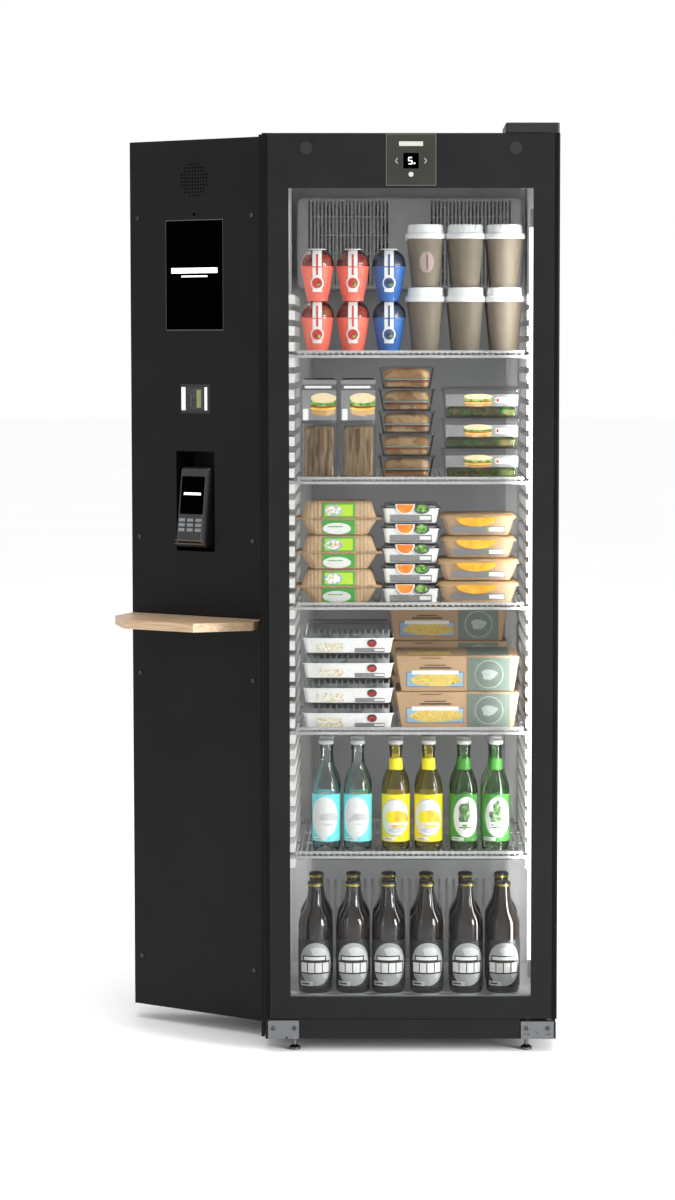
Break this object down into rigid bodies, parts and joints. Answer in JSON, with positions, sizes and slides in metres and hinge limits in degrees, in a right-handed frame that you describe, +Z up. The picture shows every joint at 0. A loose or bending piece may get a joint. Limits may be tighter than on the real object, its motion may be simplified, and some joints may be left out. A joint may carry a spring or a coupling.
{
  "type": "smart vending refrigerator",
  "caption": "Upright glass-door refrigerated vending cabinet with wire shelves and an angled payment column carrying a screen, code reader, card terminal and wooden shelf.",
  "frame": {"origin": "on the floor, in the middle of the whole footprint: fridge, payment column and wooden shelf", "axes": "+Z up, the door faces -Y, +X to the right of someone standing in front of the door"},
  "size_m": [0.9176, 0.654, 1.884],
  "materials": {
    "case_steel": "satin",
    "door_black": "satin",
    "edge_profile": "satin",
    "liner_white": "satin",
    "foam": "matte",
    "galvanised": "satin",
    "bracket_steel": "satin",
    "screw_steel": "gloss",
    "plastic_black": "satin",
    "wire_white": "gloss",
    "cover_white": "satin",
    "panel_grey": "satin",
    "coil_aluminium": "satin",
    "compressor_black": "satin",
    "fan_plastic": "satin",
    "glass_clear": "polished",
    "spacer_metal": "satin",
    "gasket_rubber": "matte",
    "led_lens": "matte",
    "column_paint": "satin",
    "board_wood": "satin",
    "screen_glass": "gloss",
    "reader_plastic": "satin",
    "terminal_plastic": "satin",
    "key_plastic": "satin",
    "roller_plastic": "matte",
    "foot_steel": "satin"
  },
  "bodies": {
    "cabinet": {"outer_shell": "case_steel", "insulation": "foam", "liner": "liner_white", "back_panel": "galvanised", "rear_grille": "door_black", "power_inlet": "plastic_black", "base_frame": "door_black", "lower_hinge": "bracket_steel", "base_cover_plate": "bracket_steel", "upper_hinge": "galvanised", "hinge_cover": "plastic_black", "lock_magnet": "galvanised", "panel_screws": "screw_steel", "fan_cover": "cover_white", "evaporator": "coil_aluminium", "rear_air_panel": "panel_grey", "compressor": "compressor_black", "condenser": "coil_aluminium", "condenser_fan_frame": "galvanised", "wire_shelf_1": "wire_white", "wire_shelf_2": "wire_white", "wire_shelf_3": "wire_white", "wire_shelf_4": "wire_white", "wire_shelf_5": "wire_white", "led_housing": "spacer_metal", "led_diffuser": "led_lens", "column_rail": "column_paint", "column_shell": "column_paint", "column_upper_panel": "column_paint", "column_lower_panel": "column_paint", "wood_shelf": "board_wood", "touchscreen": "screen_glass", "code_reader": "reader_plastic", "speaker": "plastic_black", "terminal_recess": "column_paint", "card_terminal": "terminal_plastic", "controller_box": "spacer_metal"},
    "door": {"door_frame": "door_black", "door_edge_profiles": "edge_profile", "door_glass_outer": "glass_clear", "door_glass_inner": "glass_clear", "glass_spacer": "spacer_metal", "door_gasket": "gasket_rubber", "control_panel": "plastic_black", "armature_plate": "galvanised"},
    "evaporator_fan": {"evaporator_fan": "fan_plastic"},
    "condenser_fan": {"condenser_fan": "fan_plastic"},
    "foot_left": {"foot_left": "foot_steel"},
    "foot_right": {"foot_right": "foot_steel"},
    "roller_left": {"roller_left": "roller_plastic"},
    "roller_right": {"roller_right": "roller_plastic"},
    "key_1": {"key_1": "key_plastic"},
    "key_2": {"key_2": "key_plastic"},
    "key_3": {"key_3": "key_plastic"},
    "key_4": {"key_4": "key_plastic"},
    "key_5": {"key_5": "key_plastic"},
    "key_6": {"key_6": "key_plastic"},
    "key_7": {"key_7": "key_plastic"},
    "key_8": {"key_8": "key_plastic"},
    "key_9": {"key_9": "key_plastic"}
  },
  "joints": [
    {"name": "door_hinge", "type": "hinge", "parent": "cabinet", "child": "door", "pos_m": [0.4413, -0.2985, 0.9], "axis": [0, 0, 1], "range_deg": [0, 110]},
    {"name": "evaporator_fan_spin", "type": "hinge", "parent": "cabinet", "child": "evaporator_fan", "pos_m": [0.1603, 0.184, 1.66], "axis": [0, 1, 0], "continuous": true},
    {"name": "condenser_fan_spin", "type": "hinge", "parent": "cabinet", "child": "condenser_fan", "pos_m": [0.2683, 0.225, 0.15], "axis": [1, 0, 0], "continuous": true},
    {"name": "roller_left_spin", "type": "hinge", "parent": "cabinet", "child": "roller_left", "pos_m": [-0.0947, 0.285, 0.016], "axis": [1, 0, 0], "continuous": true},
    {"name": "roller_right_spin", "type": "hinge", "parent": "cabinet", "child": "roller_right", "pos_m": [0.4153, 0.285, 0.016], "axis": [1, 0, 0], "continuous": true},
    {"name": "foot_left_height", "type": "slide", "parent": "cabinet", "child": "foot_left", "axis": [0, 0, -1], "range_m": [-0.005, 0.012]},
    {"name": "foot_right_height", "type": "slide", "parent": "cabinet", "child": "foot_right", "axis": [0, 0, -1], "range_m": [-0.005, 0.012]},
    {"name": "key_1_press", "type": "slide", "parent": "cabinet", "child": "key_1", "axis": [0.5529, 0.8243, -0.1219], "range_m": [0, 0.0008], "stiffness_N_per_m": 900},
    {"name": "key_2_press", "type": "slide", "parent": "cabinet", "child": "key_2", "axis": [0.5529, 0.8243, -0.1219], "range_m": [0, 0.0008], "stiffness_N_per_m": 900},
    {"name": "key_3_press", "type": "slide", "parent": "cabinet", "child": "key_3", "axis": [0.5529, 0.8243, -0.1219], "range_m": [0, 0.0008], "stiffness_N_per_m": 900},
    {"name": "key_4_press", "type": "slide", "parent": "cabinet", "child": "key_4", "axis": [0.5529, 0.8243, -0.1219], "range_m": [0, 0.0008], "stiffness_N_per_m": 900},
    {"name": "key_5_press", "type": "slide", "parent": "cabinet", "child": "key_5", "axis": [0.5529, 0.8243, -0.1219], "range_m": [0, 0.0008], "stiffness_N_per_m": 900},
    {"name": "key_6_press", "type": "slide", "parent": "cabinet", "child": "key_6", "axis": [0.5529, 0.8243, -0.1219], "range_m": [0, 0.0008], "stiffness_N_per_m": 900},
    {"name": "key_7_press", "type": "slide", "parent": "cabinet", "child": "key_7", "axis": [0.5529, 0.8243, -0.1219], "range_m": [0, 0.0008], "stiffness_N_per_m": 900},
    {"name": "key_8_press", "type": "slide", "parent": "cabinet", "child": "key_8", "axis": [0.5529, 0.8243, -0.1219], "range_m": [0, 0.0008], "stiffness_N_per_m": 900},
    {"name": "key_9_press", "type": "slide", "parent": "cabinet", "child": "key_9", "axis": [0.5529, 0.8243, -0.1219], "range_m": [0, 0.0008], "stiffness_N_per_m": 900}
  ]
}
